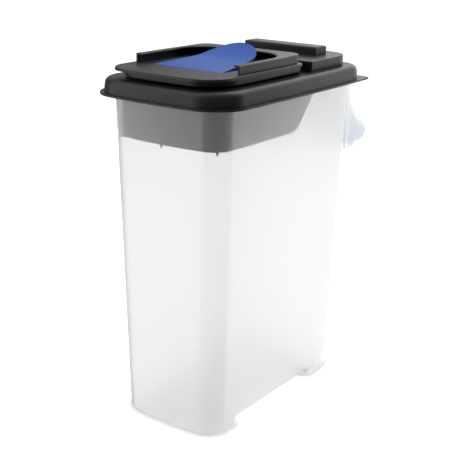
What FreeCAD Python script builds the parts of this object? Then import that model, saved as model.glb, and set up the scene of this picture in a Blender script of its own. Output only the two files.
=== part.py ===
import FreeCAD, Part
import math
import os

import Sketcher

# Upright pouring container: translucent tub, bag collar, push-on lid with a hinged pour door.
# Drawing frame: X across, -Y the pouring end, +Y the hand grip end, Z up, floor at Z 0.

doc = FreeCAD.newDocument("pouring_container")
V = FreeCAD.Vector

SIZES = [
    ("over", 1.0, "run of a cut past the face that it leaves"),
    ("spare", 20.0, "run of a cut past a whole outline"),
    ("bite", 0.5, "depth by which joined features run into each other"),
    ("skim", 0.1, "shallow overlap of joined faces"),
    ("wall", 2.2, "tub wall"),
    ("tub_half_top", 77.4, "tub half width at the rim"),
    ("tub_front_top", 141.4, "tub front reach at the rim"),
    ("tub_rear_top", 138.8, "tub rear reach at the rim"),
    ("taper_side", 10.2, "inward taper of the long walls"),
    ("taper_front", 11.7, "inward taper of the front wall"),
    ("taper_rear", 7.3, "inward taper of the rear wall"),
    ("tub_corner_top", 25.3, "upright corner radius at the rim"),
    ("tub_corner_low", 23.0, "upright corner radius at the floor"),
    ("front_bow_low", 347.0, "bow radius of the front wall at the floor"),
    ("front_bow_top", 420.0, "bow radius of the front wall at the rim"),
    ("side_bow", 4100.0, "bow radius of the long walls"),
    ("rear_bow", 2500.0, "bow radius of the rear wall"),
    ("rim_top", 382.0, "top of the tub rim"),
    ("rim_thick", 2.2, "rim plate thickness"),
    ("rim_drop", 6.5, "height of the turned-down rim edge"),
    ("rim_edge", 1.8, "thickness of the turned-down rim edge"),
    ("rim_gap", 1.1, "gap between the rim edge and the lid wall"),
    ("foot_high", 12.5, "height of the tunnel between the feet"),
    ("foot_corner", 8.0, "upright corner radius of the feet at the tunnel"),
    ("foot_round", 3.4, "rounding under the feet"),
    ("foot_front", 78.0, "tunnel reach towards the front"),
    ("foot_rear", 70.0, "tunnel reach towards the rear"),
    ("grip_side", 7.4, "grip side inside the tub side"),
    ("grip_wall", 2.4, "grip skin thickness"),
    ("grip_drop", 9.5, "top of the grip below the rim"),
    ("neck_reach", 7.7, "grip skin behind the tub rim"),
    ("neck_drop", 10.5, "start of the flare below the grip top"),
    ("grip_flare", 40.0, "radius of the flare"),
    ("grip_roll", 15.0, "radius of the rolled lower edge"),
    ("roll_reach", 37.2, "centre of the rolled edge behind the tub rim"),
    ("grip_high", 84.5, "height of the grip"),
    ("slot_reach", 21.2, "inner end of the rolled edge behind the tub rim"),
    ("grip_lip", 2.0, "width of the lip beside the finger slot"),
    ("grip_corner", 12.0, "upright corner radius of the grip"),
    ("dome_side", 12.1, "lid dome past the tub side"),
    ("dome_ahead", 12.1, "lid dome past the tub front"),
    ("dome_behind", 5.7, "lid dome past the tub rear"),
    ("dome_bow", 590.0, "bow radius of the lid front"),
    ("dome_corner_front", 39.0, "lid front corner radius"),
    ("dome_corner_rear", 33.0, "lid rear corner radius"),
    ("dome_lean", 2.0, "inward lean of the dome wall"),
    ("dome_round", 7.0, "rounding round the deck"),
    ("lid_wall", 2.4, "lid wall"),
    ("flange_out", 4.1, "flange reach past the dome"),
    ("flange_thick", 2.0, "flange thickness"),
    ("flange_drop", 8.0, "underside of the flange below the rim"),
    ("ear_corner", 9.0, "rear corner radius of the flange"),
    ("deck_rise", 10.0, "lid deck above the rim"),
    ("press_gap", 1.0, "clamping rib set in from the tub wall"),
    ("press_thick", 1.8, "clamping rib thickness"),
    ("collar_gap", 0.3, "gap between stacked rims"),
    ("collar_thick", 2.0, "collar rim thickness"),
    ("collar_edge", 0.8, "collar rim set in from the tub rim"),
    ("collar_skin", 1.8, "collar skirt thickness"),
    ("collar_deep", 53.2, "depth of the collar skirt below the rim"),
    ("collar_clear", 1.2, "gap between the tub wall and the skirt at the rim"),
    ("collar_lean", 1.4, "inward lean of the skirt"),
    ("collar_rear_low", 8.0, "rear end of the skirt at its lower edge"),
    ("collar_rear_top", 53.0, "rear end of the skirt at the rim"),
    ("collar_heel", 8.0, "run of the eased lower rear end of the skirt"),
    ("collar_heel_high", 7.0, "rise of the eased lower rear end"),
    ("prong_radius", 1.2, "bag prong radius"),
    ("prong_long", 3.2, "bag prong length"),
    ("prong_in_side", 10.3, "side prong inside the tub's side wall"),
    ("prong_in_back", 13.0, "side prong behind the tub's front wall"),
    ("prong_in_front", 3.4, "front prong behind the tub's front wall"),
    ("mouth_side", 15.0, "pour opening inside the door side"),
    ("mouth_ahead", 22.0, "pour opening behind the door front"),
    ("mouth_behind", 10.0, "pour opening ahead of the door rear"),
    ("mouth_corner", 26.0, "pour opening corner radius"),
    ("flat_bow", 3000.0, "bow radius of the nearly straight edges"),
    ("door_side", 18.5, "pour door inside the lid side"),
    ("lip_side", 2.0, "lip past the door side"),
    ("lip_corner", 31.0, "front corner radius of the lip"),
    ("lip_ahead", 9.0, "lip past the door front"),
    ("door_ahead", 15.5, "door front behind the lid front"),
    ("door_gap", 5.0, "door rear ahead of the hinge axis"),
    ("door_bow", 620.0, "bow radius of the lip"),
    ("door_corner", 38.0, "front corner radius of the door"),
    ("door_rear_corner", 12.0, "rear corner radius of the door"),
    ("door_rise", 11.5, "top of the door and rear deck above the lid deck"),
    ("door_float", 2.2, "lower edge of the door above the lid deck"),
    ("door_lip", 3.0, "lip thickness"),
    ("door_wall", 2.2, "door wall"),
    ("lip_round", 1.2, "rounding of the upper edges"),
    ("plug_deep", 3.5, "plug depth below the lid deck"),
    ("plug_gap", 0.9, "gap between plug and pour opening"),
    ("tray_side", 1.6, "gap beside the tab"),
    ("tray_ahead", 2.2, "gap in front of the tab"),
    ("tray_rear", 38.0, "rear end of the tab tray"),
    ("tray_corner", 2.0, "corner radius of the tray"),
    ("tray_deep", 6.1, "depth of the tray"),
    ("guard_side", 2.0, "guard inside the door side"),
    ("guard_corner", 16.0, "rear corner radius of the guard"),
    ("guard_back", 42.0, "front ends of the guard behind the door front"),
    ("guard_wide", 7.0, "width of a guard arm"),
    ("guard_deep", 20.0, "width of the guard across the rear"),
    ("guard_inner_corner", 37.0, "guard inner corner radius"),
    ("guard_high", 9.8, "height of the guard and of the stop bar"),
    ("guard_skin", 1.8, "guard skin"),
    ("hinge_back", 33.0, "door hinge axis position"),
    ("hinge_rise", 9.0, "hinge axis above the lid deck"),
    ("hinge_pin", 2.0, "door hinge pin radius"),
    ("hinge_fit", 0.05, "radial running clearance"),
    ("knuckle", 3.8, "hinge knuckle radius"),
    ("knuckle_half", 6.0, "half length of a lid knuckle"),
    ("knuckle_side", 40.0, "offset of the outer lid knuckles"),
    ("lug_half", 12.5, "half length of a door lug"),
    ("lug_side", 20.0, "offset of the door lugs"),
    ("lug_low", 2.6, "underside of a lug below the hinge axis"),
    ("lug_high", 2.4, "top of a lug above the hinge axis"),
    ("block_side", 17.5, "rear deck inside the lid side"),
    ("block_gap", 4.5, "rear deck behind the hinge axis"),
    ("block_behind", 11.5, "rear deck ahead of the lid rear"),
    ("block_corner", 30.0, "rear deck rear corner radius"),
    ("block_front_corner", 3.0, "rear deck front corner radius"),
    ("block_inner_corner", 4.0, "front corner radius inside the rear deck"),
    ("block_wall", 2.0, "rear deck wall"),
    ("reveal", 1.0, "depth of the reveal line"),
    ("reveal_high", 1.2, "height of the reveal line"),
    ("bar_half", 50.3, "stop bar half length"),
    ("bar_round", 2.0, "rounding of the stop bar"),
    ("bar_deep", 23.5, "stop bar depth"),
    ("bar_behind", 26.0, "stop bar ahead of the rear deck's rear"),
    ("tab_half", 46.4, "pull tab half width at its pivot end"),
    ("tab_back", 43.2, "tab front edge behind the door front"),
    ("tab_centre", 26.7, "centre of the round end"),
    ("tab_round", 34.4, "radius of the round end"),
    ("tab_thick", 2.6, "pull tab thickness"),
    ("tab_cut", 100.0, "height of the cut that gives the tab its outline"),
    ("tab_sink", 0.2, "tab upper face below the door top"),
    ("tab_bend", 37.0, "where the tab starts to curl up"),
    ("tab_bend_radius", 100.0, "radius of the curl"),
    ("tab_slope", 3.7, "slope of the flat part in degrees"),
    ("tab_curl", 33.0, "slope past the end of the curl in degrees"),
    ("tab_axis_in", 2.8, "pivot behind the tab's front edge"),
    ("tab_axis_deep", 2.7, "pivot below the tab's upper face"),
    ("tab_knuckle", 2.4, "pull tab knuckle radius"),
    ("tab_pin", 1.2, "pull tab pin radius"),
    ("tab_pin_seat", 1.9, "depth of the pin in each tray side"),
]

# Sizes and levels that follow from the driving ones above.
FOLLOW = {
    "tub_half_low": "tub_half_top - taper_side",
    "tub_front_low": "tub_front_top - taper_front",
    "tub_rear_low": "tub_rear_top - taper_rear",
    "grip_half": "tub_half_top - grip_side",
    "grip_top": "rim_top - grip_drop",
    "grip_neck": "tub_rear_top + neck_reach",
    "grip_neck_level": "grip_top - neck_drop",
    "grip_roll_reach": "tub_rear_top + roll_reach",
    "grip_low": "grip_top - grip_high",
    "grip_slot": "tub_rear_top + slot_reach",
    "dome_half": "tub_half_top + dome_side",
    "dome_front": "tub_front_top + dome_ahead",
    "dome_rear": "tub_rear_top + dome_behind",
    "flange_low": "rim_top - flange_drop",
    "deck": "rim_top + deck_rise",
    "press_low": "rim_top + collar_gap + collar_thick + collar_gap",
    "collar_low": "rim_top - collar_deep",
    "collar_inset": "wall + collar_clear",
    "prong_side": "tub_half_top - wall - prong_in_side",
    "prong_back": "tub_front_top - wall - prong_in_back",
    "prong_front": "tub_front_top - wall - prong_in_front",
    "mouth_half": "door_half - mouth_side",
    "mouth_front": "door_neck_front - mouth_ahead",
    "mouth_rear": "door_rear - mouth_behind",
    "door_half": "dome_half - door_side",
    "lip_half": "door_half + lip_side",
    "door_lip_front": "door_neck_front + lip_ahead",
    "door_neck_front": "dome_front - door_ahead",
    "door_rear": "hinge_back - door_gap",
    "door_top": "deck + door_rise",
    "door_low": "deck + door_float",
    "plug_low": "deck - plug_deep",
    "tray_half": "tab_half + tray_side",
    "tray_front": "tab_front + tray_ahead",
    "tray_floor": "door_top - tray_deep",
    "guard_half": "door_half - guard_side",
    "guard_front": "door_neck_front - guard_back",
    "guard_inner_half": "guard_half - guard_wide",
    "guard_inner_rear": "door_rear - guard_deep",
    "guard_top": "door_top + guard_high",
    "hinge_level": "deck + hinge_rise",
    "hinge_pin_half": "knuckle_side + knuckle_half + over",
    "block_half": "dome_half - block_side",
    "block_front": "hinge_back + block_gap",
    "block_rear": "dome_rear - block_behind",
    "bar_front": "bar_rear - bar_deep",
    "bar_rear": "block_rear - bar_behind",
    "tab_front": "door_neck_front - tab_back",
    "tab_top": "door_top - tab_sink",
    "tab_axis_back": "tab_front - tab_axis_in",
    "tab_axis_level": "tab_top - tab_axis_deep",
    "tab_pin_half": "tray_half + tab_pin_seat",
}

sheet = doc.addObject("Spreadsheet::Sheet", "Sizes")
SIZE = {}
for row, (word, number, note) in enumerate(SIZES, start=1):
    sheet.set("A%d" % row, note)
    sheet.set("B%d" % row, repr(number))
    sheet.setAlias("B%d" % row, word)
    SIZE[word] = number
doc.recompute()

def value(text):
    """Number behind a sum such as 'dome_half - wall + 1.5'."""
    total = 0.0
    sign = 1.0
    for token in text.split():
        if token in "+-":
            sign = 1.0 if token == "+" else -1.0
        elif token in FOLLOW:
            total += sign * value(FOLLOW[token])
        elif token in SIZE:
            total += sign * SIZE[token]
        else:
            total += sign * float(token)
    return total


def formula(text):
    """The same sum written against the sheet."""
    words = []
    for token in text.split():
        if token in FOLLOW:
            words.append("(%s)" % formula(FOLLOW[token]))
        elif token in SIZE:
            words.append("Sizes." + token)
        else:
            words.append(token)
    return " ".join(words)


SHIFT = "(%s) / 2" % formula("dome_front + flange_out - grip_roll_reach - grip_roll")


def new_body(label):
    body = doc.addObject("PartDesign::Body", label)
    body.Label = label
    return body


def origin_plane(body, role):
    return next(item for item in body.Origin.OriginFeatures if item.Role == role)


def sketch_on(body, name, plane="XY_Plane", level="0"):
    sk = body.newObject("Sketcher::SketchObject", name)
    sk.AttachmentSupport = (origin_plane(body, plane), "")
    sk.MapMode = "FlatFace"
    sk.AttachmentOffset = FreeCAD.Placement(V(0, 0, value(level)), FreeCAD.Rotation())
    sk.setExpression("AttachmentOffset.Base.z", formula(level))
    return sk


def add_constraints(sk, rows):
    """Rows are (constraint arguments, formula or None); sized rows are bound to the sheet."""
    start = sk.ConstraintCount
    sk.addConstraint([Sketcher.Constraint(*arguments) for arguments, _ in rows])
    for index, (_, bound) in enumerate(rows, start=start):
        if bound:
            sk.setExpression("Constraints[%d]" % index, bound)


def corner_circle(circle_a, circle_b, radius, side):
    """Centre of a small circle that rolls inside two large ones."""
    ax, ay, ar = circle_a
    bx, by, br = circle_b
    ra = ar - radius
    rb = br - radius
    span = math.hypot(bx - ax, by - ay)
    along = (ra * ra - rb * rb + span * span) / (2 * span)
    off = math.sqrt(max(ra * ra - along * along, 0.0)) * side
    ux = (bx - ax) / span
    uy = (by - ay) / span
    return ax + along * ux - off * uy, ay + along * uy + off * ux


def outline(sk, half, front, rear, bows, corners, inset="0"):
    """Closed bowed rectangle with four rounded corners, everything inset by one amount."""
    front_bow, side_bow, rear_bow = bows
    corner_front, corner_rear = corners
    grow = value(inset)
    h = value(half) - grow
    f = -value(front) + grow
    r = value(rear) - grow
    radii = [value(front_bow) - grow, value(side_bow) - grow, value(rear_bow) - grow]
    small_front = value(corner_front) - grow
    small_rear = value(corner_rear) - grow
    middle = (f + r) / 2
    big = [
        (0.0, f + radii[0], radii[0]),
        (h - radii[1], middle, radii[1]),
        (0.0, r - radii[2], radii[2]),
        (-h + radii[1], middle, radii[1]),
    ]
    small = [small_front, small_rear, small_rear, small_front]
    guess = [(h, f), (h, r), (-h, r), (-h, f)]
    centres = []
    for index in range(4):
        one = big[index]
        two = big[(index + 1) % 4]
        options = [corner_circle(one, two, small[index], side) for side in (1, -1)]
        gx, gy = guess[index]
        centres.append(min(options, key=lambda c: math.hypot(c[0] - gx, c[1] - gy)))
    joints = []
    for index in range(4):
        cx, cy = centres[index]
        pair = []
        for bx, by, _ in (big[index], big[(index + 1) % 4]):
            pair.append(math.atan2(cy - by, cx - bx))
        joints.append(pair)
    first = sk.GeometryCount
    arcs = []
    for index in range(4):
        bx, by, br = big[index]
        start = joints[index - 1][1]
        end = joints[index][0]
        arcs.append(Part.ArcOfCircle(Part.Circle(V(bx, by, 0), V(0, 0, 1), br), start, end))
        cx, cy = centres[index]
        circle = Part.Circle(V(cx, cy, 0), V(0, 0, 1), small[index])
        arcs.append(Part.ArcOfCircle(circle, joints[index][0], joints[index][1]))
    sk.addGeometry(arcs, False)
    inset_by = formula(inset)
    front_radius = "%s - (%s)" % (formula(front_bow), inset_by)
    side_radius = "%s - (%s)" % (formula(side_bow), inset_by)
    rear_radius = "%s - (%s)" % (formula(rear_bow), inset_by)
    half_text = "(%s) - (%s)" % (formula(half), inset_by)
    front_text = "(%s) - (%s)" % (formula(front), inset_by)
    rear_text = "(%s) - (%s)" % (formula(rear), inset_by)
    middle_text = "((%s) - (%s)) / 2" % (formula(rear), formula(front))
    rows = []
    for index in range(8):
        rows.append((("Tangent", first + index, 2, first + (index + 1) % 8, 1), None))
    texts = [front_radius, side_radius, rear_radius, side_radius]
    for index in range(4):
        rows.append((("Radius", first + 2 * index, big[index][2]), texts[index]))
    for index in (0, 3, 1, 2):
        word = corner_front if index in (0, 3) else corner_rear
        bound = "(%s) - (%s)" % (formula(word), inset_by)
        rows.append((("Radius", first + 2 * index + 1, small[index]), bound))
    centre_texts = [
        (None, "%s - (%s)" % (front_radius, front_text)),
        ("%s - (%s)" % (half_text, side_radius), middle_text),
        (None, "%s - (%s)" % (rear_text, rear_radius)),
        ("%s - (%s)" % (side_radius, half_text), middle_text),
    ]
    for index, (x_text, y_text) in enumerate(centre_texts):
        bx, by, _ = big[index]
        arc = first + 2 * index
        if x_text:
            rows.append((("DistanceX", -1, 1, arc, 3, bx), x_text))
        else:
            rows.append((("PointOnObject", arc, 3, -2), None))
        rows.append((("DistanceY", -1, 1, arc, 3, by), y_text))
    add_constraints(sk, rows)


def polygon(sk, corners):
    """Closed straight-sided shape; each corner is a pair of sums."""
    first = sk.GeometryCount
    points = [V(value(x), value(y), 0) for x, y in corners]
    count = len(points)
    lines = [Part.LineSegment(points[i], points[(i + 1) % count]) for i in range(count)]
    sk.addGeometry(lines, False)
    rows = []
    for index, (x, y) in enumerate(corners):
        rows.append((("Coincident", first + index, 2, first + (index + 1) % count, 1), None))
        rows.append((("DistanceX", -1, 1, first + index, 1, points[index].x), formula(x)))
        rows.append((("DistanceY", -1, 1, first + index, 1, points[index].y), formula(y)))
    add_constraints(sk, rows)


def rectangle(sk, x_low, x_high, y_low, y_high):
    polygon(sk, [(x_low, y_low), (x_high, y_low), (x_high, y_high), (x_low, y_high)])


def circle(sk, x, y, radius):
    first = sk.GeometryCount
    sk.addGeometry(Part.Circle(V(value(x), value(y), 0), V(0, 0, 1), value(radius)), False)
    add_constraints(sk, [
        (("Radius", first, value(radius)), formula(radius)),
        (("DistanceX", -1, 1, first, 3, value(x)), formula(x)),
        (("DistanceY", -1, 1, first, 3, value(y)), formula(y)),
    ])


def extrude(body, kind, sk, length, midplane=False, downwards=False):
    feature = body.newObject("PartDesign::" + kind, sk.Name + "_" + kind.lower())
    feature.Profile = sk
    feature.Length = value(length)
    feature.setExpression("Length", formula(length))
    if midplane:
        feature.SideType = "Symmetric"
    feature.Reversed = downwards
    sk.Visibility = False
    return feature


def blend(body, kind, name, sketches):
    feature = body.newObject("PartDesign::" + kind, name)
    feature.Profile = sketches[0]
    feature.Sections = sketches[1:]
    feature.Ruled = True
    return feature


def rounding(body, name, size, chosen):
    """Round the edges of the body's newest feature that the rule chooses."""
    doc.recompute()
    base = body.Tip
    names = ["Edge%d" % (i + 1) for i, edge in enumerate(base.Shape.Edges) if chosen(edge)]
    feature = body.newObject("PartDesign::Fillet", name)
    feature.Base = (base, names)
    feature.Radius = value(size)
    feature.setExpression("Radius", formula(size))
    return feature


def at_level(edge, level):
    box = edge.BoundBox
    return abs(box.ZMin - level) < 0.01 and abs(box.ZMax - level) < 0.01


TUB_TOP = ("tub_half_top", "tub_front_top", "tub_rear_top")
TUB_LOW = ("tub_half_low", "tub_front_low", "tub_rear_low")
TOP_BOWS = ("front_bow_top", "side_bow", "rear_bow")
LOW_BOWS = ("front_bow_low", "side_bow", "rear_bow")
TOP_CORNERS = ("tub_corner_top", "tub_corner_top")
LOW_CORNERS = ("tub_corner_low", "tub_corner_low")
DOME = ("dome_half", "dome_front", "dome_rear")
DOME_BOWS = ("dome_bow", "side_bow", "rear_bow")
DOME_CORNERS = ("dome_corner_front", "dome_corner_rear")


def tub_top(sk, inset="0"):
    outline(sk, *TUB_TOP, TOP_BOWS, TOP_CORNERS, inset)


def tub_low(sk, inset="0"):
    outline(sk, *TUB_LOW, LOW_BOWS, LOW_CORNERS, inset)


def dome(sk, inset="0"):
    outline(sk, *DOME, DOME_BOWS, DOME_CORNERS, inset)


# ---------------------------------------------------------------- tub
RIM_INSET = "lid_wall + rim_gap"


def tub_solid(body, name, floor, inset):
    """Tapered tub form between a floor level and the rim."""
    low = sketch_on(body, name + "_low", level=floor)
    tub_low(low, inset)
    top = sketch_on(body, name + "_top", level="rim_top")
    tub_top(top, inset)
    return [low, top]


tub = new_body("tub")
blend(tub, "AdditiveLoft", "tub_form", tub_solid(tub, "outer", "0", "0"))
rim = sketch_on(tub, "rim", level="rim_top - rim_drop")
dome(rim, RIM_INSET)
extrude(tub, "Pad", rim, "rim_drop")
under_rim = sketch_on(tub, "under_rim", level="rim_top - rim_drop")
dome(under_rim, RIM_INSET + " + rim_edge")
tub_top(under_rim, "0 - skim")
extrude(tub, "Pocket", under_rim, "rim_drop - rim_thick", downwards=True)
blend(tub, "SubtractiveLoft", "tub_hollow", tub_solid(tub, "inner", "wall", "wall"))
saddle = sketch_on(tub, "saddle", "YZ_Plane")
rectangle(saddle, "0 - foot_front - wall", "foot_rear + wall", "0", "foot_high + wall")
extrude(tub, "Pad", saddle, "tub_half_low + tub_half_low - over - over", midplane=True)
tunnel = sketch_on(tub, "tunnel", "YZ_Plane")
rectangle(tunnel, "0 - foot_front", "foot_rear", "0 - over", "foot_high")
extrude(tub, "Pocket", tunnel, "tub_half_low + tub_half_low + spare", midplane=True)


def foot_upright(edge):
    """Upright edges of the feet on both sides of the tunnel."""
    box = edge.BoundBox
    full_height = abs(box.ZMin) < 0.01 and abs(box.ZMax - value("foot_high")) < 0.01
    return full_height and box.YLength < 0.01


rounding(tub, "foot_corners", "foot_corner", foot_upright)
rounding(tub, "foot_rounding", "foot_round", lambda edge: at_level(edge, 0.0))

core = new_body("tub_core")
blend(core, "AdditiveLoft", "core_form", tub_solid(core, "core", "wall", "wall"))


def flare_profile(sk, inset, top, low, inner_end, outer_end):
    """Side view of the grip: neck, flare, rolled lower edge, closed towards the tub."""
    t = value(inset)
    neck = value("grip_neck") - t
    level = value("grip_neck_level")
    big = value("grip_flare") + t
    small = value("grip_roll") - t
    cx = neck + big
    rx = value("grip_roll_reach")
    rz = value("grip_low") + value("grip_roll")
    span = math.hypot(rx - cx, rz - level)
    facing = math.atan2(rz - level, rx - cx)
    lean = math.acos((big + small) / span)
    angle = facing - lean
    p_big = V(cx + big * math.cos(angle), level + big * math.sin(angle), 0)
    p_small = V(rx - small * math.cos(angle), rz - small * math.sin(angle), 0)
    bottom = V(rx, rz - small, 0)
    z_top = value(top)
    z_low = value(low)
    y_in = value(inner_end)
    y_out = value(outer_end)
    first = sk.GeometryCount
    flare_circle = Part.Circle(V(cx, level, 0), V(0, 0, 1), big)
    flare = Part.ArcOfCircle(flare_circle, math.pi, angle % (2 * math.pi))
    roll_start = -math.pi / 2
    roll_end = math.atan2(p_small.y - rz, p_small.x - rx)
    roll = Part.ArcOfCircle(Part.Circle(V(rx, rz, 0), V(0, 0, 1), small), roll_start, roll_end)
    sk.addGeometry([
        Part.LineSegment(V(neck, z_top, 0), V(neck, level, 0)),
        flare,
        Part.LineSegment(p_big, p_small),
        roll,
        Part.LineSegment(bottom, V(y_out, bottom.y, 0)),
        Part.LineSegment(V(y_out, bottom.y, 0), V(y_out, z_low, 0)),
        Part.LineSegment(V(y_out, z_low, 0), V(y_in, z_low, 0)),
        Part.LineSegment(V(y_in, z_low, 0), V(y_in, z_top, 0)),
        Part.LineSegment(V(y_in, z_top, 0), V(neck, z_top, 0)),
    ], False)
    a = first
    t_text = formula(inset)
    rows = [
        (("Tangent", a, 2, a + 1, 1), None),
        (("Tangent", a + 1, 2, a + 2, 1), None),
        (("Tangent", a + 2, 2, a + 3, 2), None),
        (("Tangent", a + 3, 1, a + 4, 1), None),
        (("Coincident", a + 4, 2, a + 5, 1), None),
        (("Coincident", a + 5, 2, a + 6, 1), None),
        (("Coincident", a + 6, 2, a + 7, 1), None),
        (("Coincident", a + 7, 2, a + 8, 1), None),
        (("Coincident", a + 8, 2, a, 1), None),
        (("Vertical", a), None),
        (("Horizontal", a + 4), None),
        (("Vertical", a + 5), None),
        (("Horizontal", a + 6), None),
        (("Vertical", a + 7), None),
        (("Horizontal", a + 8), None),
        (("Radius", a + 1, big), "%s + (%s)" % (formula("grip_flare"), t_text)),
        (("Radius", a + 3, small), "%s - (%s)" % (formula("grip_roll"), t_text)),
        (("DistanceX", -1, 1, a, 2, neck), "%s - (%s)" % (formula("grip_neck"), t_text)),
        (("DistanceY", -1, 1, a, 2, level), formula("grip_neck_level")),
        (("DistanceX", -1, 1, a + 3, 3, rx), formula("grip_roll_reach")),
        (("DistanceY", -1, 1, a + 3, 3, rz), formula("grip_low + grip_roll")),
        (("DistanceY", -1, 1, a, 1, z_top), formula(top)),
        (("DistanceX", -1, 1, a + 6, 1, y_out), formula(outer_end)),
        (("DistanceX", -1, 1, a + 6, 2, y_in), formula(inner_end)),
        (("DistanceY", -1, 1, a + 6, 1, z_low), formula(low)),
    ]
    add_constraints(sk, rows)


GRIP_ROOT = "tub_rear_low - over"
grip = new_body("grip")
grip_side = sketch_on(grip, "grip_side", "YZ_Plane")
flare_profile(grip_side, "0", "grip_top", "grip_low - bite", GRIP_ROOT, "grip_slot + grip_lip")
extrude(grip, "Pad", grip_side, "grip_half + grip_half", midplane=True)


def outer_upright(edge):
    """Side edges of the grip that run down its rear skin."""
    box = edge.BoundBox
    on_side = abs(abs(box.XMin) - value("grip_half")) < 0.01 and box.XLength < 0.01
    rear_skin = box.YMin > value("grip_neck") - 0.01
    flat_low = box.ZLength < 0.01
    return on_side and rear_skin and not flat_low


rounding(grip, "grip_rounding", "grip_corner", outer_upright)

hand_space = new_body("hand_space")
space_side = sketch_on(hand_space, "space_side", "YZ_Plane")
flare_profile(space_side, "grip_wall", "grip_top - grip_wall", "grip_low - grip_lip", GRIP_ROOT, "grip_slot")
extrude(hand_space, "Pad", space_side, "grip_half + grip_half - grip_wall - grip_wall", midplane=True)

grip_shell = doc.addObject("Part::Cut", "grip_shell")
grip_shell.Base = grip
grip_shell.Tool = hand_space
grip_trim = doc.addObject("Part::Cut", "grip_trim")
grip_trim.Base = grip_shell
grip_trim.Tool = core
container = doc.addObject("Part::MultiFuse", "container_body")
container.Shapes = [tub, grip_trim]
container.Refine = True
container.Label = "container_body"

# ---------------------------------------------------------------- bag collar
collar = new_body("bag_collar")
COLLAR_BASE = "rim_top + collar_gap"
collar_rim = sketch_on(collar, "collar_rim", level=COLLAR_BASE)
dome(collar_rim, RIM_INSET + " + collar_edge")
extrude(collar, "Pad", collar_rim, "collar_thick")


def skirt(inset, name):
    low = sketch_on(collar, name + "_low", level="collar_low")
    tub_top(low, inset + " + collar_lean")
    top = sketch_on(collar, name + "_top", level=COLLAR_BASE + " + collar_thick")
    tub_top(top, inset)
    return [low, top]


blend(collar, "AdditiveLoft", "skirt_form", skirt("collar_inset", "skirt_outer"))
blend(collar, "SubtractiveLoft", "skirt_hollow", skirt("collar_inset + collar_skin", "skirt_inner"))
skirt_end = sketch_on(collar, "skirt_end", "YZ_Plane")
polygon(skirt_end, [
    ("collar_rear_low - collar_heel", "collar_low - over"),
    ("collar_rear_low", "collar_low + over"),
    ("collar_rear_low + collar_heel", "collar_low + collar_heel_high"),
    ("collar_rear_top", COLLAR_BASE),
    ("tub_rear_top + spare", COLLAR_BASE),
    ("tub_rear_top + spare", "collar_low - over"),
])
extrude(collar, "Pocket", skirt_end, "dome_half + dome_half", midplane=True)
prongs = sketch_on(collar, "prongs", level="collar_low + over")
circle(prongs, "0", "0 - prong_front", "prong_radius")
circle(prongs, "prong_side", "0 - prong_back", "prong_radius")
circle(prongs, "0 - prong_side", "0 - prong_back", "prong_radius")
extrude(collar, "Pad", prongs, "prong_long + over", downwards=True)

# ---------------------------------------------------------------- lid
lid = new_body("lid")
flange = sketch_on(lid, "flange", level="flange_low")
outline(flange, *DOME, DOME_BOWS, ("dome_corner_front", "ear_corner - flange_out"), "0 - flange_out")
extrude(lid, "Pad", flange, "flange_thick")
dome_low = sketch_on(lid, "dome_low", level="flange_low")
dome(dome_low)
dome_high = sketch_on(lid, "dome_high", level="deck")
dome(dome_high, "dome_lean")
blend(lid, "AdditiveLoft", "dome_form", [dome_low, dome_high])
rounding(lid, "deck_rounding", "dome_round", lambda edge: at_level(edge, value("deck")))
hollow_low = sketch_on(lid, "hollow_low", level="flange_low")
dome(hollow_low, "lid_wall")
hollow_high = sketch_on(lid, "hollow_high", level="deck - lid_wall")
dome(hollow_high, "dome_lean + lid_wall")
blend(lid, "SubtractiveLoft", "dome_hollow", [hollow_low, hollow_high])
INNER_LEVEL = value("deck - lid_wall")
rounding(lid, "inner_rounding", "dome_round - lid_wall", lambda edge: at_level(edge, INNER_LEVEL))
press = sketch_on(lid, "press", level="press_low")
tub_top(press, "press_gap")
tub_top(press, "press_gap + press_thick")
extrude(lid, "Pad", press, "deck - lid_wall - press_low + bite")
FLAT = ("flat_bow", "flat_bow", "flat_bow")
MOUTH = ("mouth_half", "mouth_front", "mouth_rear")
MOUTH_CORNERS = ("mouth_corner", "mouth_corner")
mouth = sketch_on(lid, "mouth", level="deck + over")
outline(mouth, *MOUTH, FLAT, MOUTH_CORNERS)
extrude(lid, "Pocket", mouth, "lid_wall + over + over")


def hinge_side(body, name, offset, foot, half):
    """Upright hinge knuckle that stands on a level, padded about one offset across."""
    sk = sketch_on(body, name, "YZ_Plane", offset)
    radius = value("knuckle")
    hy = value("hinge_back")
    hz = value("hinge_level")
    low = value(foot)
    round_top = Part.ArcOfCircle(Part.Circle(V(hy, hz, 0), V(0, 0, 1), radius), 0, math.pi)
    corners = [V(hy - radius, hz, 0), V(hy - radius, low, 0), V(hy + radius, low, 0), V(hy + radius, hz, 0)]
    first = sk.GeometryCount
    sk.addGeometry([round_top] + [Part.LineSegment(corners[i], corners[i + 1]) for i in range(3)], False)
    add_constraints(sk, [
        (("Tangent", first, 2, first + 1, 1), None),
        (("Coincident", first + 1, 2, first + 2, 1), None),
        (("Coincident", first + 2, 2, first + 3, 1), None),
        (("Tangent", first + 3, 2, first, 1), None),
        (("Vertical", first + 1), None),
        (("Horizontal", first + 2), None),
        (("Radius", first, radius), formula("knuckle")),
        (("DistanceX", -1, 1, first, 3, hy), formula("hinge_back")),
        (("DistanceY", -1, 1, first, 3, hz), formula("hinge_level")),
        (("DistanceY", -1, 1, first + 2, 1, low), formula(foot)),
    ])
    extrude(body, "Pad", sk, half + " + " + half, midplane=True)


for number, offset in enumerate(("0 - knuckle_side", "0", "knuckle_side")):
    hinge_side(lid, "knuckle_%d" % number, offset, "deck - bite", "knuckle_half")


def bore(body, name, y, z, radius, half):
    sk = sketch_on(body, name, "YZ_Plane")
    circle(sk, y, z, radius)
    extrude(body, "Pocket", sk, half + " + " + half, midplane=True)


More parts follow.
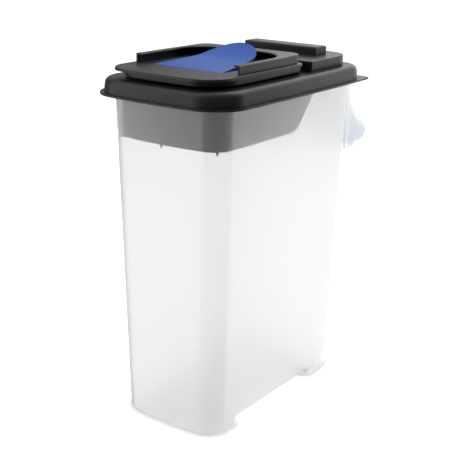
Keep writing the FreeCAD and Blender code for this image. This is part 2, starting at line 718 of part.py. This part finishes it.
bore(lid, "pin_bore", "hinge_back", "hinge_level", "hinge_pin + hinge_fit", "hinge_pin_half + over")

# ---------------------------------------------------------------- pour door
door = new_body("pour_door")
LIP = ("lip_half", "door_lip_front", "door_rear")
NECK = ("door_half", "door_neck_front", "door_rear")
DOOR_BOWS = ("door_bow", "flat_bow", "flat_bow")
DOOR_CORNERS = ("door_corner", "door_rear_corner")
TRAY = ("tray_half", "tray_front", "0 - tray_rear")
TRAY_CORNERS = ("tray_corner", "tray_corner")

neck = sketch_on(door, "neck", level="door_low")
outline(neck, *NECK, DOOR_BOWS, DOOR_CORNERS)
extrude(door, "Pad", neck, "door_top - door_low - skim")
lip = sketch_on(door, "lip", level="door_top - door_lip")
outline(lip, *LIP, DOOR_BOWS, ("lip_corner", "door_rear_corner"))
extrude(door, "Pad", lip, "door_lip")
rounding(door, "lip_rounding", "lip_round", lambda edge: at_level(edge, value("door_top")))
groove = sketch_on(door, "groove", level="door_low")
outline(groove, "door_half + spare", "door_lip_front + spare", "door_rear + spare", FLAT, DOOR_CORNERS)
outline(groove, *NECK, DOOR_BOWS, DOOR_CORNERS, "reveal")
extrude(door, "Pocket", groove, "reveal_high", downwards=True)
TRAY_UNDER = "tray_floor - door_wall"
under = sketch_on(door, "under", level="door_low")
outline(under, *NECK, DOOR_BOWS, DOOR_CORNERS, "reveal + door_wall")
extrude(door, "Pocket", under, TRAY_UNDER + " - door_low", downwards=True)
sides = sketch_on(door, "sides", level=TRAY_UNDER)
outline(sides, *NECK, DOOR_BOWS, DOOR_CORNERS, "reveal + door_wall")
outline(sides, *TRAY, FLAT, TRAY_CORNERS, "0 - door_wall")
extrude(door, "Pocket", sides, "door_top - tray_floor", downwards=True)
plug = sketch_on(door, "plug", level="plug_low")
outline(plug, *MOUTH, FLAT, MOUTH_CORNERS, "plug_gap")
outline(plug, *MOUTH, FLAT, MOUTH_CORNERS, "plug_gap + door_wall")
extrude(door, "Pad", plug, "door_top - door_wall - plug_low + bite")
tray = sketch_on(door, "tray", level="door_top + over")
outline(tray, *TRAY, FLAT, TRAY_CORNERS)
extrude(door, "Pocket", tray, "door_top + over - tray_floor")


def door_lug(name, offset):
    """Lug joining the rear wall of the door to the hinge axis."""
    sk = sketch_on(door, name, "YZ_Plane", offset)
    low = "hinge_level - lug_low"
    high = "hinge_level + lug_high"
    rectangle(sk, "door_rear - reveal - bite", "hinge_back", low, high)
    extrude(door, "Pad", sk, "lug_half + lug_half", midplane=True)
    eye = sketch_on(door, name + "_eye", "YZ_Plane", offset)
    circle(eye, "hinge_back", "hinge_level", "knuckle")
    extrude(door, "Pad", eye, "lug_half + lug_half", midplane=True)


door_lug("lug_left", "0 - lug_side")
door_lug("lug_right", "lug_side")
bore(door, "hinge_bore", "hinge_back", "hinge_level", "hinge_pin + hinge_fit", "lug_side + lug_half + over")
bore(door, "tab_bore", "0 - tab_axis_back", "tab_axis_level", "tab_pin + hinge_fit", "tab_pin_half")

# ---------------------------------------------------------------- door guard
guard = new_body("door_guard")
GUARD = ("guard_half", "door_neck_front", "door_rear")
GUARD_IN = ("guard_inner_half", "door_neck_front - guard_skin", "guard_inner_rear")
GUARD_CORNERS = ("door_corner", "guard_corner")
GUARD_IN_CORNERS = ("door_corner", "guard_inner_corner")
ring = sketch_on(guard, "guard_ring", level="door_top")
outline(ring, *GUARD, FLAT, GUARD_CORNERS)
outline(ring, *GUARD_IN, FLAT, GUARD_IN_CORNERS)
extrude(guard, "Pad", ring, "guard_top - door_top")
opened = sketch_on(guard, "opened", level="door_top - over")
rectangle(opened, "0 - dome_half", "dome_half", "0 - door_lip_front - spare", "0 - guard_front")
extrude(guard, "Pocket", opened, "guard_top - door_top + over + over", downwards=True)
rounding(guard, "guard_rounding", "lip_round", lambda edge: at_level(edge, value("guard_top")))
channel = sketch_on(guard, "channel", level="door_top")
outline(channel, *GUARD, FLAT, GUARD_CORNERS, "guard_skin")
outline(channel, *GUARD_IN, FLAT, GUARD_IN_CORNERS, "0 - guard_skin + skim")
extrude(guard, "Pocket", channel, "guard_top - door_top - guard_skin", downwards=True)

# ---------------------------------------------------------------- rear deck with stop bar
deck = new_body("rear_deck")


def block(sk, inset="0", corner="block_front_corner"):
    front = "0 - block_front"
    outline(sk, "block_half", front, "block_rear", FLAT, (corner, "block_corner"), inset)


base = sketch_on(deck, "base", level="deck")
block(base, "reveal")
extrude(deck, "Pad", base, "reveal_high + skim")
body_form = sketch_on(deck, "body_form", level="deck + reveal_high")
block(body_form)
extrude(deck, "Pad", body_form, "door_top - deck - reveal_high")
rounding(deck, "block_rounding", "lip_round", lambda edge: at_level(edge, value("door_top")))
bar = sketch_on(deck, "bar", level="door_top - bite")
rectangle(bar, "0 - bar_half", "bar_half", "bar_front", "bar_rear")
extrude(deck, "Pad", bar, "guard_top - door_top + bite")
rounding(deck, "bar_rounding", "bar_round", lambda edge: at_level(edge, value("guard_top")))
inside = sketch_on(deck, "inside", level="deck")
block(inside, "reveal + block_wall", "block_inner_corner")
extrude(deck, "Pocket", inside, "door_top - lid_wall - deck", downwards=True)

# ---------------------------------------------------------------- pull tab
tab = new_body("pull_tab")
strip = sketch_on(tab, "strip", "YZ_Plane")
slope = math.radians(value("tab_slope"))
curl = math.radians(value("tab_curl"))
turn = value("tab_bend_radius")
thick = value("tab_thick")
top = value("tab_top")
start = -value("tab_front")
bend = -value("tab_bend")
bend_level = top + (bend - start) * math.tan(slope)
mid = V(bend - turn * math.sin(slope), bend_level + turn * math.cos(slope), 0)


def on_curl(radius, angle):
    return V(mid.x + radius * math.sin(angle), mid.y - radius * math.cos(angle), 0)


front_top = V(start, top, 0)
front_low = V(start + thick * math.sin(slope), top - thick * math.cos(slope), 0)
upper_curl = Part.Circle(mid, V(0, 0, 1), turn)
lower_curl = Part.Circle(mid, V(0, 0, 1), turn + thick)
strip.addGeometry([
    Part.LineSegment(front_top, on_curl(turn, slope)),
    Part.ArcOfCircle(upper_curl, slope - math.pi / 2, curl - math.pi / 2),
    Part.LineSegment(on_curl(turn, curl), on_curl(turn + thick, curl)),
    Part.ArcOfCircle(lower_curl, slope - math.pi / 2, curl - math.pi / 2),
    Part.LineSegment(on_curl(turn + thick, slope), front_low),
    Part.LineSegment(front_low, front_top),
], False)
add_constraints(strip, [
    (("Tangent", 0, 2, 1, 1), None),
    (("Coincident", 1, 2, 2, 1), None),
    (("Coincident", 2, 2, 3, 2), None),
    (("Tangent", 3, 1, 4, 1), None),
    (("Coincident", 4, 2, 5, 1), None),
    (("Coincident", 5, 2, 0, 1), None),
    (("Coincident", 1, 3, 3, 3), None),
    (("Perpendicular", 0, 5), None),
    (("Radius", 1, turn), formula("tab_bend_radius")),
    (("Radius", 3, turn + thick), formula("tab_bend_radius + tab_thick")),
    (("DistanceX", -1, 1, 0, 1, start), formula("0 - tab_front")),
    (("DistanceY", -1, 1, 0, 1, top), formula("tab_top")),
    (("DistanceX", -1, 1, 0, 2, bend), formula("0 - tab_bend")),
    (("Angle", 0, slope), "Sizes.tab_slope * 1 deg"),
    (("Angle", 2, curl - math.pi / 2), "(Sizes.tab_curl - 90) * 1 deg"),
    (("PointOnObject", 1, 3, 2), None),
])
extrude(tab, "Pad", strip, "tab_half + tab_half", midplane=True)
shape = sketch_on(tab, "plan", level="tab_top")
radius = value("tab_round")
half = value("tab_half")
centre = V(0, -value("tab_centre"), 0)
span = math.hypot(half, start - centre.y)
side_angle = math.atan2(start - centre.y, half) + math.acos(radius / span)
touch = centre + V(radius * math.cos(side_angle), radius * math.sin(side_angle), 0)
mirror = V(-touch.x, touch.y, 0)
shape.addGeometry([
    Part.LineSegment(V(-half, start, 0), V(half, start, 0)),
    Part.LineSegment(V(half, start, 0), touch),
    Part.ArcOfCircle(Part.Circle(centre, V(0, 0, 1), radius), side_angle, math.pi - side_angle),
    Part.LineSegment(mirror, V(-half, start, 0)),
], False)
add_constraints(shape, [
    (("Coincident", 0, 2, 1, 1), None),
    (("Tangent", 1, 2, 2, 1), None),
    (("Tangent", 2, 2, 3, 1), None),
    (("Coincident", 3, 2, 0, 1), None),
    (("Horizontal", 0), None),
    (("Radius", 2, radius), formula("tab_round")),
    (("PointOnObject", 2, 3, -2), None),
    (("DistanceY", -1, 1, 2, 3, centre.y), formula("0 - tab_centre")),
    (("DistanceX", -1, 1, 0, 2, half), formula("tab_half")),
    (("DistanceX", -1, 1, 0, 1, -half), formula("0 - tab_half")),
    (("DistanceY", -1, 1, 0, 1, start), formula("0 - tab_front")),
])
rectangle(shape, "0 - tab_half - spare", "tab_half + spare", "0 - tab_front - spare", "tab_round + spare")
extrude(tab, "Pocket", shape, "tab_cut", midplane=True)
barrel = sketch_on(tab, "barrel", "YZ_Plane")
circle(barrel, "0 - tab_axis_back", "tab_axis_level", "tab_knuckle")
extrude(tab, "Pad", barrel, "tab_half + tab_half - over - over", midplane=True)
bore(tab, "pin_hole", "0 - tab_axis_back", "tab_axis_level", "tab_pin + hinge_fit", "tab_half + over")

# ---------------------------------------------------------------- pins


def pin(label, y, z, radius, half):
    body = new_body(label)
    sk = sketch_on(body, label + "_round", "YZ_Plane")
    circle(sk, y, z, radius)
    extrude(body, "Pad", sk, half + " + " + half, midplane=True)
    return body


hinge_pin = pin("door_hinge_pin", "hinge_back", "hinge_level", "hinge_pin", "hinge_pin_half")
tab_pin = pin("tab_pin", "0 - tab_axis_back", "tab_axis_level", "tab_pin", "tab_pin_half")

# ---------------------------------------------------------------- placing, checking, export
NODES = [container, collar, lid, deck, door, guard, tab, hinge_pin, tab_pin]
for node in NODES:
    node.setExpression("Placement.Base.y", SHIFT)
doc.recompute()

for item in doc.Objects:
    if "Invalid" in item.State or "Error" in item.State:
        raise RuntimeError("%s did not rebuild" % item.Name)
os.makedirs("parts", exist_ok=True)
for node in NODES:
    if node.Shape.isNull() or not node.Shape.isValid() or not node.Shape.Solids:
        raise RuntimeError("%s has no sound solid" % node.Label)
    node.Shape.exportStep("parts/%s.step" % node.Label)
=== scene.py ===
import bpy
import math
from mathutils import Matrix, Vector

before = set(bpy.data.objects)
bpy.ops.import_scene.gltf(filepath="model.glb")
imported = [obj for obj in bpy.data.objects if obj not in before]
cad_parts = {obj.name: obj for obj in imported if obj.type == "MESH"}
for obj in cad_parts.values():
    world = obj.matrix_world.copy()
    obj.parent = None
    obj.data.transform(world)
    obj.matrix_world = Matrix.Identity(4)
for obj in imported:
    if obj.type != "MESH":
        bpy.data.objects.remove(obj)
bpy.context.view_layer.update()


# ------------------------------------------------------------------ materials
def new_material(name):
    mat = bpy.data.materials.new(name)
    mat.use_nodes = True
    mat.node_tree.nodes.clear()
    return mat


def add(tree, kind, **values):
    """New shader node; a value is an attribute of the node or one of its inputs."""
    node = tree.nodes.new("ShaderNode" + kind)
    for key, val in values.items():
        if hasattr(node, key):
            setattr(node, key, val)
        else:
            node.inputs[key.replace("_", " ")].default_value = val
    return node


def join(tree, a, out, b, into):
    tree.links.new(a.outputs[out], b.inputs[into])


def plastic(name, colour, rough, specular, grain, strength):
    """Moulded opaque plastic: spark-eroded texture, slight tone and gloss variation."""
    mat = new_material(name)
    tree = mat.node_tree
    coords = add(tree, "TexCoord")
    fine = add(tree, "TexNoise", Scale=grain, Detail=4.0, Roughness=0.65)
    cells = add(tree, "TexVoronoi", Scale=grain * 0.7)
    broad = add(tree, "TexNoise", Scale=11.0, Detail=4.0)
    height = add(tree, "Math", operation="MULTIPLY")
    tone = add(tree, "ValToRGB")
    low, high = tone.color_ramp.elements
    low.position = 0.3
    high.position = 0.7
    low.color = [c * 0.86 for c in colour] + [1]
    high.color = [c * 1.14 for c in colour] + [1]
    gloss = add(tree, "MapRange")
    gloss.inputs["From Min"].default_value = 0.3
    gloss.inputs["From Max"].default_value = 0.7
    gloss.inputs["To Min"].default_value = rough - 0.05
    gloss.inputs["To Max"].default_value = rough + 0.05
    bump = add(tree, "Bump", Strength=strength, Distance=0.0001)
    bsdf = add(tree, "BsdfPrincipled", IOR=1.49)
    bsdf.inputs["Specular IOR Level"].default_value = specular
    out = add(tree, "OutputMaterial")
    for texture in (fine, cells, broad):
        join(tree, coords, "Object", texture, "Vector")
    tree.links.new(fine.outputs["Fac"], height.inputs[0])
    tree.links.new(cells.outputs["Distance"], height.inputs[1])
    join(tree, broad, "Fac", tone, "Fac")
    join(tree, broad, "Fac", gloss, "Value")
    join(tree, height, "Value", bump, "Height")
    join(tree, tone, "Color", bsdf, "Base Color")
    join(tree, gloss, "Result", bsdf, "Roughness")
    join(tree, bump, "Normal", bsdf, "Normal")
    join(tree, bsdf, "BSDF", out, "Surface")
    return mat


# where the rear grip begins behind the tub wall (y) and its rolled lower edge begins (z)
GRIP_STARTS = 0.119
GRIP_FULL = 0.124
ROLL_STARTS = 0.322
ROLL_FULL = 0.300


def frosted(name, thin, grip, roll, rough, haze, index):
    """Milky see-through moulding: rough transmission with a little body scatter.

    The thin walls are almost neutral; the doubled wall of the rear grip and its rolled lower
    edge are bluer and denser.
    """
    mat = new_material(name)
    tree = mat.node_tree
    coords = add(tree, "TexCoord")
    fine = add(tree, "TexNoise", Scale=1400.0, Detail=3.0)
    broad = add(tree, "TexNoise", Scale=8.0, Detail=3.0)
    gloss = add(tree, "MapRange")
    gloss.inputs["To Min"].default_value = rough - 0.04
    gloss.inputs["To Max"].default_value = rough + 0.04
    bump = add(tree, "Bump", Strength=0.1, Distance=0.0001)
    place = add(tree, "SeparateXYZ")
    behind = add(tree, "MapRange", interpolation_type="SMOOTHSTEP")
    behind.inputs["From Min"].default_value = GRIP_STARTS
    behind.inputs["From Max"].default_value = GRIP_FULL
    behind.inputs["To Max"].default_value = 0.5
    below = add(tree, "MapRange", interpolation_type="SMOOTHSTEP")
    below.inputs["From Min"].default_value = ROLL_STARTS
    below.inputs["From Max"].default_value = ROLL_FULL
    below.inputs["To Min"].default_value = 1.0
    below.inputs["To Max"].default_value = 2.0
    depth = add(tree, "Math", operation="MULTIPLY")
    tint = add(tree, "ValToRGB")
    tint.color_ramp.elements[0].color = (*thin, 1)
    tint.color_ramp.elements[1].color = (*roll, 1)
    tint.color_ramp.elements.new(0.5).color = (*grip, 1)
    skin = add(tree, "BsdfPrincipled", IOR=index)
    skin.inputs["Transmission Weight"].default_value = 1.0
    skin.inputs["Coat Weight"].default_value = 0.8
    skin.inputs["Coat Roughness"].default_value = 0.25
    skin.inputs["Coat IOR"].default_value = 1.55
    milk = add(tree, "BsdfDiffuse")
    glow = add(tree, "BsdfTranslucent")
    body = add(tree, "MixShader", Fac=0.4)
    final = add(tree, "MixShader", Fac=haze)
    out = add(tree, "OutputMaterial")
    join(tree, coords, "Object", fine, "Vector")
    join(tree, coords, "Object", broad, "Vector")
    join(tree, coords, "Object", place, "Vector")
    join(tree, broad, "Fac", gloss, "Value")
    join(tree, gloss, "Result", skin, "Roughness")
    join(tree, fine, "Fac", bump, "Height")
    join(tree, bump, "Normal", skin, "Normal")
    join(tree, place, "Y", behind, "Value")
    join(tree, place, "Z", below, "Value")
    tree.links.new(behind.outputs["Result"], depth.inputs[0])
    tree.links.new(below.outputs["Result"], depth.inputs[1])
    join(tree, depth, "Value", tint, "Fac")
    join(tree, tint, "Color", skin, "Base Color")
    join(tree, tint, "Color", milk, "Color")
    join(tree, tint, "Color", glow, "Color")
    tree.links.new(skin.outputs[0], final.inputs[1])
    tree.links.new(milk.outputs[0], body.inputs[1])
    tree.links.new(glow.outputs[0], body.inputs[2])
    tree.links.new(body.outputs[0], final.inputs[2])
    join(tree, final, "Shader", out, "Surface")
    return mat


black = plastic("black_plastic", (0.009, 0.009, 0.0095), 0.40, 0.26, 1900.0, 0.25)
ink = plastic("collar_plastic", (0.006, 0.011, 0.021), 0.40, 0.24, 1900.0, 0.2)
blue = plastic("blue_plastic", (0.006, 0.058, 0.285), 0.42, 0.24, 1900.0, 0.12)
clear = frosted(
    "frosted_plastic",
    thin=(0.900, 0.899, 0.894),
    grip=(0.80, 0.822, 0.842),
    roll=(0.68, 0.72, 0.77),
    rough=0.50,
    haze=0.06,
    index=1.25,
)

LOOKS = {"container_body": clear, "pull_tab": blue, "bag_collar": ink}
for name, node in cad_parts.items():
    node.data.materials.clear()
    node.data.materials.append(LOOKS.get(name, black))

# ------------------------------------------------------------------ floor and light
FLOOR_SIZE = 120.0
OPEN_GLOW = 0.95
CONTACT_REACH = 0.009
# painted contact shadow: glow level against occlusion, from right beside a foot out towards the open
# floor
CONTACT_SHADE = [(0.04, 0.52), (0.60, 0.60)]


def pale_floor():
    """Lit and glowing white surface; a painted contact shadow dims its glow only in the few millimetres
    beside the feet.
    """
    mat = new_material("floor_white")
    tree = mat.node_tree
    contact = add(tree, "AmbientOcclusion", Distance=CONTACT_REACH)
    glow = add(tree, "ValToRGB")
    under, open_floor = glow.color_ramp.elements
    under.position = 0.01
    under.color = (OPEN_GLOW, OPEN_GLOW, OPEN_GLOW, 1)
    open_floor.color = (OPEN_GLOW, OPEN_GLOW, OPEN_GLOW, 1)
    for occlusion, level in CONTACT_SHADE:
        glow.color_ramp.elements.new(occlusion).color = (level, level, level, 1)
    bsdf = add(tree, "BsdfPrincipled", Roughness=0.8)
    bsdf.inputs["Base Color"].default_value = (0.18, 0.18, 0.18, 1)
    bsdf.inputs["Emission Color"].default_value = (1, 1, 1, 1)
    out = add(tree, "OutputMaterial")
    # painted contact shadow: occlusion near the feet lowers the floor's glow
    join(tree, contact, "AO", glow, "Fac")
    join(tree, glow, "Color", bsdf, "Emission Strength")
    join(tree, bsdf, "BSDF", out, "Surface")
    return mat


bpy.ops.mesh.primitive_plane_add(size=FLOOR_SIZE, location=(0, 0, 0))
floor = bpy.context.object
floor.name = "floor"
floor.visible_glossy = False
floor.data.materials.append(pale_floor())


def bright_side(tree, direction, spread, start, end, level):
    """Soft lobe of studio light round one direction of the surroundings."""
    coords = add(tree, "TexCoord")
    flat = add(tree, "VectorMath", operation="MULTIPLY")
    flat.inputs[1].default_value = spread
    unit = add(tree, "VectorMath", operation="NORMALIZE")
    dot = add(tree, "VectorMath", operation="DOT_PRODUCT")
    dot.inputs[1].default_value = direction
    lobe = add(tree, "MapRange", interpolation_type="SMOOTHSTEP")
    lobe.inputs["From Min"].default_value = start
    lobe.inputs["From Max"].default_value = end
    lobe.inputs["To Min"].default_value = 0.0
    lobe.inputs["To Max"].default_value = level
    tree.links.new(coords.outputs["Generated"], flat.inputs[0])
    tree.links.new(flat.outputs["Vector"], unit.inputs[0])
    tree.links.new(unit.outputs["Vector"], dot.inputs[0])
    tree.links.new(dot.outputs["Value"], lobe.inputs["Value"])
    return lobe


world = bpy.data.worlds.new("studio")
bpy.context.scene.world = world
world.use_nodes = True
sky = world.node_tree
backdrop = sky.nodes["Background"]
backdrop.inputs["Color"].default_value = (1, 1, 1, 1)
FAINT_LIGHT = 0.08
# direction, axes that count, cosines where a lobe starts and is full, strength
LOBES = [
    ((-0.707, -0.707, 0.0), (1, 1, 0), 0.84, 0.93, 2.0),
    ((0.087, 0.996, 0.0), (1, 1, 0), 0.71, 0.90, 1.9),
    ((-0.588, 0.809, 0.0), (1, 1, 0), 0.60, 0.95, 0.35),
    ((0.0, 0.0, 1.0), (1, 1, 1), 0.40, 0.85, 0.9),
]
total = add(sky, "Value")
total.outputs[0].default_value = FAINT_LIGHT
for lobe_row in LOBES:
    lobe = bright_side(sky, *lobe_row)
    plus = add(sky, "Math", operation="ADD")
    sky.links.new(total.outputs[0], plus.inputs[0])
    sky.links.new(lobe.outputs["Result"], plus.inputs[1])
    total = plus
sky.links.new(total.outputs[0], backdrop.inputs["Strength"])

# ------------------------------------------------------------------ camera
AZIMUTH = math.radians(35.77)
ELEVATION = math.radians(17.92)
ROLL = math.radians(1.18)
LENS = 76.49
SENSOR_WIDTH = 36.0
CAMERA_PLACE = Vector((0.6225, -0.9009, 0.5564))
level_part = math.cos(ELEVATION)
back = Vector((math.sin(AZIMUTH) * level_part, -math.cos(AZIMUTH) * level_part, math.sin(ELEVATION)))
side = Vector((math.cos(AZIMUTH), math.sin(AZIMUTH), 0))
rise = back.cross(side)
right = side * math.cos(ROLL) + rise * math.sin(ROLL)
up = rise * math.cos(ROLL) - side * math.sin(ROLL)
camera_data = bpy.data.cameras.new("camera")
camera_data.sensor_width = SENSOR_WIDTH
camera_data.lens = LENS
camera = bpy.data.objects.new("camera", camera_data)
bpy.context.collection.objects.link(camera)
camera.matrix_world = Matrix.Translation(CAMERA_PLACE) @ Matrix((right, up, back)).transposed().to_4x4()
bpy.context.scene.camera = camera
bpy.context.scene.view_settings.view_transform = "Standard"
